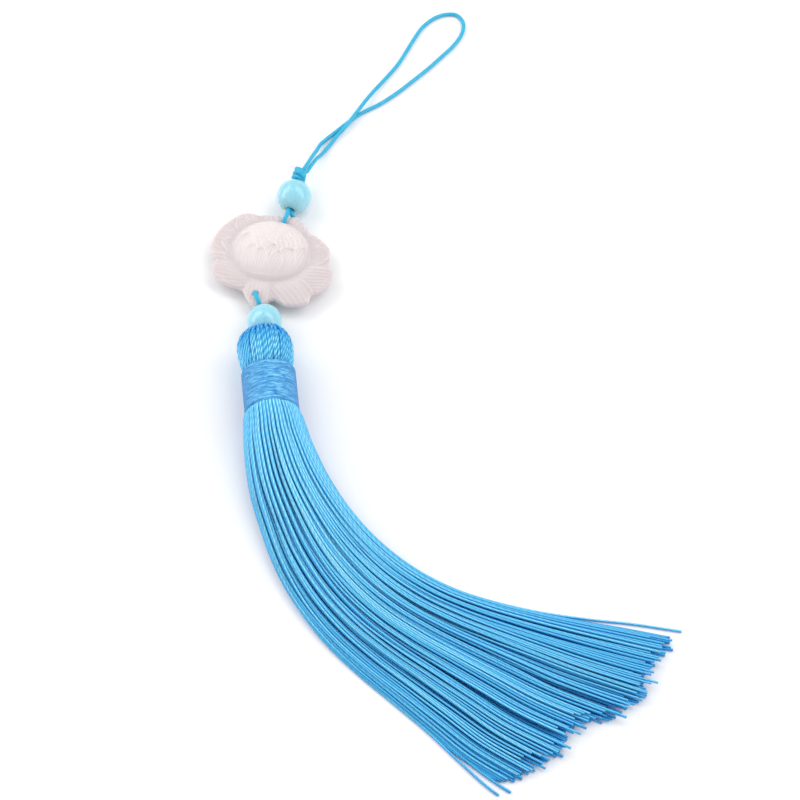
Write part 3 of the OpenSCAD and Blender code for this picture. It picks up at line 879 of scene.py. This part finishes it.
# Twelve threads that start above each other lie side by side in this order when
# spread, and the first four of them, spaced evenly, make up the top layer.
skirt_slots = np.array([0, 6, 3, 9, 1, 7, 4, 10, 2, 8, 5, 11])
# Sections: x, y, width and height in mm, and turn in degrees
skirt_sections = np.array([
    [-35.4, 9.5, 12.9, 12.1, 5], [-34.8, 6.6, 14.1, 11.4, 5], [-33.95, 2.4, 15.5, 10.2, 6],
    [-31.35, -6.35, 18.2, 9, 9], [-27.4, -15.2, 21, 8, 12], [-22.6, -23.4, 24.4, 6.9, 16],
    [-16.6, -30.85, 27.8, 5.9, 20], [-9.5, -37.2, 31.3, 5.2, 24], [-1.5, -42.4, 35, 4.6, 29],
    [6.8, -46.8, 39.2, 4.1, 33], [15.2, -51.05, 43.9, 3.7, 37], [23.5, -55.15, 48.6, 3.3, 41],
    [32.3, -58.8, 52.2, 3, 43], [41.3, -62.3, 55.6, 2.6, 45]])
# Height of the oval's sides as a share of its own, and the power of its underside
skirt_belly = 0.42
skirt_flatness = 0.6
# Where the bundle changes, in sections: the middle of each change and half its length.
# It turns from an oval to a flat pile, the threads spread evenly and pile up by depth,
# they loosen, settle in three layers, and draw back from the right edge.
flat_at, spread_at, piled_at, loose_at, layered_at, drawn_at = (
    (3, 3), (4, 4), (2.5, 2.5), (7, 4), (8, 3), (9.5, 2.5))
# Where the threads end: place from -1 at the left edge to 1 at the right one, and how
# many sections past the last but one
skirt_tips = np.array([
    [-1, 0], [-0.8, 0.1], [-0.6, 0.13], [-0.3, 0.13], [-0.08, 0.28], [0.07, 0.48],
    [0.25, 0.52], [0.35, 0.47], [0.5, 0.33], [0.65, 0.15], [0.85, 0.05], [1, -0.2]])
# Strays, which leave the others near their tips: place, how many sections longer
# they are, how far they splay out, and half of the sections that this takes
skirt_strays = np.array([
    [0.975, 0.2, 0.11, 2.5], [0.94, 0.2, 0, 1], [0.8, 0.15, 0, 1], [0.45, 0.25, 0.01, 1],
    [0.05, 0.25, -0.02, 1], [-0.3, 0.2, 0, 1], [-0.96, 0.2, -0.045, 0.8],
    [-1, 0.1, -0.09, 0.8]])


def changed(station, change):
    """How far a change has come at a place along the sections, from 0 to 1."""
    return soft_step(station - change[0], change[1])


def skirt_lay(across, share):
    """Where the threads cross each section. across and share are (section, thread)
    and run from -1 to 1, share from the lowest to the highest thread at its place.
    Near the wrap a section is an oval, and further down a pile that lies flat."""
    x, y, width, height, turn = skirt_sections.T[:, :, None]
    turn = np.radians(turn)
    flat = changed(np.arange(len(skirt_sections))[:, None], flat_at)
    round_side = np.sqrt(np.clip(1 - across ** 2, 0, 1))
    low = (1 - flat) * skirt_belly * (1 - round_side ** skirt_flatness)
    high = (1 - flat) * (skirt_belly + (1 - skirt_belly) * round_side) + flat * round_side ** 0.8
    r = skirt_thread_r / mm
    side = (width / 2 - r) * across
    rise = height * low + r + np.maximum(0, height * (high - low) - 2 * r) * (0.5 + 0.5 * share)
    return mm * np.stack([x + side * np.cos(turn), y + side * np.sin(turn), rise], axis=-1)


def thread_places():
    """Places of the threads in the round bundle, in evenly spread rings, and in the
    fan, where each group from left to right takes its slots. A thread's depth in its
    group counts from the top."""
    ring = np.repeat(np.arange(len(skirt_rounds)), skirt_rounds)
    place = np.concatenate([np.arange(count) / count for count in skirt_rounds])
    reach = 0.995 * ring / ring.max()
    turn = 2 * np.pi * place + 2.4 * ring
    across = reach * np.cos(turn)
    above = reach * np.sin(turn)
    share = above / np.sqrt(1 - across ** 2)
    group = np.argsort(np.argsort(across)) // len(skirt_slots)
    order = np.lexsort((-share, group))
    depth = np.empty(skirt_threads, dtype=int)
    depth[order] = np.arange(skirt_threads) % len(skirt_slots)
    rank = group * len(skirt_slots) + skirt_slots[depth]
    return across, above, 2 * (rank + 0.5) / skirt_threads - 1, share, depth


def skirt_paths(across, above, evened, share, depth):
    """Each thread's way and its height in the pile. Inside the wrap it keeps its place
    in the round bundle, and its height is its share. Next, height follows a power of
    its depth, and at last it is one of three layers. From section to section it drifts
    and sways a little, a sine of its place draws it to the middle of its bunch, and it
    sinks between two bunches."""
    station = np.arange(len(skirt_sections))[:, None]
    last = len(station) - 1
    spread = changed(station, spread_at)
    loose = changed(station, loose_at)
    phase, pace = random.random((2, skirt_threads))
    drift = (random.normal(0, 0.006, skirt_threads) * (1 + 4 * (random.random(skirt_threads) < 0.1))
             * np.sin(2 * np.pi * (phase + (0.5 + pace) * station / 12)))
    place = across * (1 - spread) + evened * spread
    bunch = 2 * np.pi * (6.3 * place + 0.03 * station + 0.3 * np.sin(9 * place))
    place = place + drift + 0.003 * loose * np.sin(bunch)
    # Near the tips all of them draw back from the right edge, but for one stray.
    drawn = 0.028 * changed(station, drawn_at)
    place = np.clip(place, -1, 1) * (1 - drawn) - drawn
    sway = 0.3 * np.sin(2 * np.pi * (pace + 1.4 * phase * station / 12))
    piled = changed(station, piled_at)
    layered = changed(station, layered_at)
    lift = (share * (1 - piled) + (1 - 2 * (depth / 11) ** 1.5) * piled) * (1 - layered)
    lift = lift + (1 - depth // 4) * layered + sway * spread
    sink = (0.4 + 0.2 * np.sin(11 * place)) * loose * (0.5 + 0.5 * np.cos(bunch)) ** 8
    lift = np.clip(lift - sink * (lift + 1), -1, 1)
    cluster = (20 * (evened + 1) + 4 * phase).astype(int)
    tips = last - 1 + np.interp(evened, *skirt_tips.T)
    end = tips + random.normal(0, 0.13, 64)[cluster] + random.normal(0, 0.06, skirt_threads)
    for stray_place, longer, splay, half in skirt_strays:
        stray = np.argmin(np.abs(evened - stray_place) - 0.03 * share)
        end[stray] = tips[stray] + longer
        place[:, stray] += splay * changed(station[:, 0], (last - 1 - half, half))
    core_r = wrap_d / 2 - wrap_wall - skirt_thread_r - 0.03 * mm
    wrap_run = -wrap_h * np.array([0.55, 0.8, 0.99])[:, None]
    core = np.stack(np.broadcast_arrays(wrap_run, core_r * across, core_r * above), axis=-1)
    keys = np.concatenate([wrap_top_at + core @ wrap_frame, skirt_lay(place, lift)])
    heights = np.concatenate([np.broadcast_to(share, (len(wrap_run), skirt_threads)), lift])
    at = np.linspace(0, 1, skirt_rings)[:, None] * (end + len(wrap_run))
    ways = np.swapaxes(curve_through(keys, at), 0, 1)
    return ways, curve_through(heights[..., None], at)[..., 0].T


skirt_places = thread_places()
skirt, skirt_height = skirt_paths(*skirt_places)
skirt_share = np.linspace(0, 1, skirt_rings)
# The plies are looser near the wrap, so the threads are thicker there.
skirt_loosening = 1.16 - 0.36 * soft_step(skirt_share - 0.42, 0.3)[:, None]
skirt_thickness = (skirt_thread_r * random.uniform(0.84, 1.1, (skirt_threads, 1, 1))
                   * skirt_loosening)
# Painted shade: threads lower in the pile are darker, besides each thread's own random tone.
skirt_tone_and_shade = (random.uniform(0.75, 1, (skirt_threads, 1))
              * (0.6 + 0.4 * soft_step(skirt_height - 0.1, 0.9)))
# Near the wrap the threads are pressed together, so less painted shade is laid on them.
skirt_pressed = 1 - soft_step(skirt_share - 0.57, 0.25)
skirt_tone_and_shade = skirt_tone_and_shade + 0.6 * (1 - skirt_tone_and_shade) * skirt_pressed
skirt_underside_shade = (0.38 + 0.17 * skirt_pressed)[:, None]
skirt_shift = ply_pitch / mm * random.random((skirt_threads, 1))
on_left = skirt_places[0] < 0
# Each thread is painted with a highlight along its crest and shade on its underside.
for skirt_name, half in (("skirt_threads_left", on_left), ("skirt_threads_right", ~on_left)):
    radii = np.broadcast_to(skirt_thickness[half], (half.sum(), skirt_rings, skirt_sides))
    skirt_points, skirt_faces, skirt_maps = tubes(skirt[half], radii, upward, skirt_shift[half])
    new_piece(skirt_name, skirt_points, skirt_faces, silk_thread, "tassel_skirt",
              skirt_maps, thread_shade(skirt_tone_and_shade[half], skirt_underside_shade, skirt_sides, np.pi / 2, 3))

# Studio
# A plain white floor under two large softboxes, left and right above the
# pendant, in a white tent.
softbox_distance = 0.8
softbox_width = 0.32
floor_material, _ = new_material(
    "matt_white_board",
    {"Base Color": linear("#f6f6f7"), "Roughness": 0.7, "Specular IOR Level": 0.2})
bpy.ops.mesh.primitive_circle_add(vertices=64, radius=1.5, fill_type="NGON")
floor = bpy.context.object
floor.name = "floor"
floor.data.materials.append(floor_material)


def softbox(name, ends, power):
    """A long rectangular light that faces the pendant. At the softbox distance, it
    reaches from one of two directions, as seen from the pendant, to the other."""
    first, last = (np.array(end) / np.linalg.norm(end) for end in ends)
    span = np.linalg.norm(last - first)
    along = (last - first) / span
    middle = (first + last) / 2
    back = middle / np.linalg.norm(middle)
    light = bpy.data.lights.new(name, "AREA")
    light.shape = "RECTANGLE"
    light.size = softbox_distance * span
    light.size_y = softbox_width
    light.energy = power
    lamp = bpy.data.objects.new(name, light)
    place = np.eye(4)
    place[:3] = np.stack([along, np.cross(back, along), back,
                          camera_target + softbox_distance * middle], axis=-1)
    lamp.matrix_world = Matrix(place.tolist())
    bpy.context.collection.objects.link(lamp)


softbox("softbox_left", ((-0.99, -0.1, 0.1), (-0.29, 0.51, 0.8)), 2.15)
softbox("softbox_right", ((0.1, 0.47, 0.87), (0.92, -0.38, 0.25)), 2.1)
world = bpy.data.worlds.new("white_tent")
world.use_nodes = True
fill(world.node_tree.nodes["Background"], {"Color": (1, 1, 1, 1), "Strength": 0.74})
bpy.context.scene.world = world
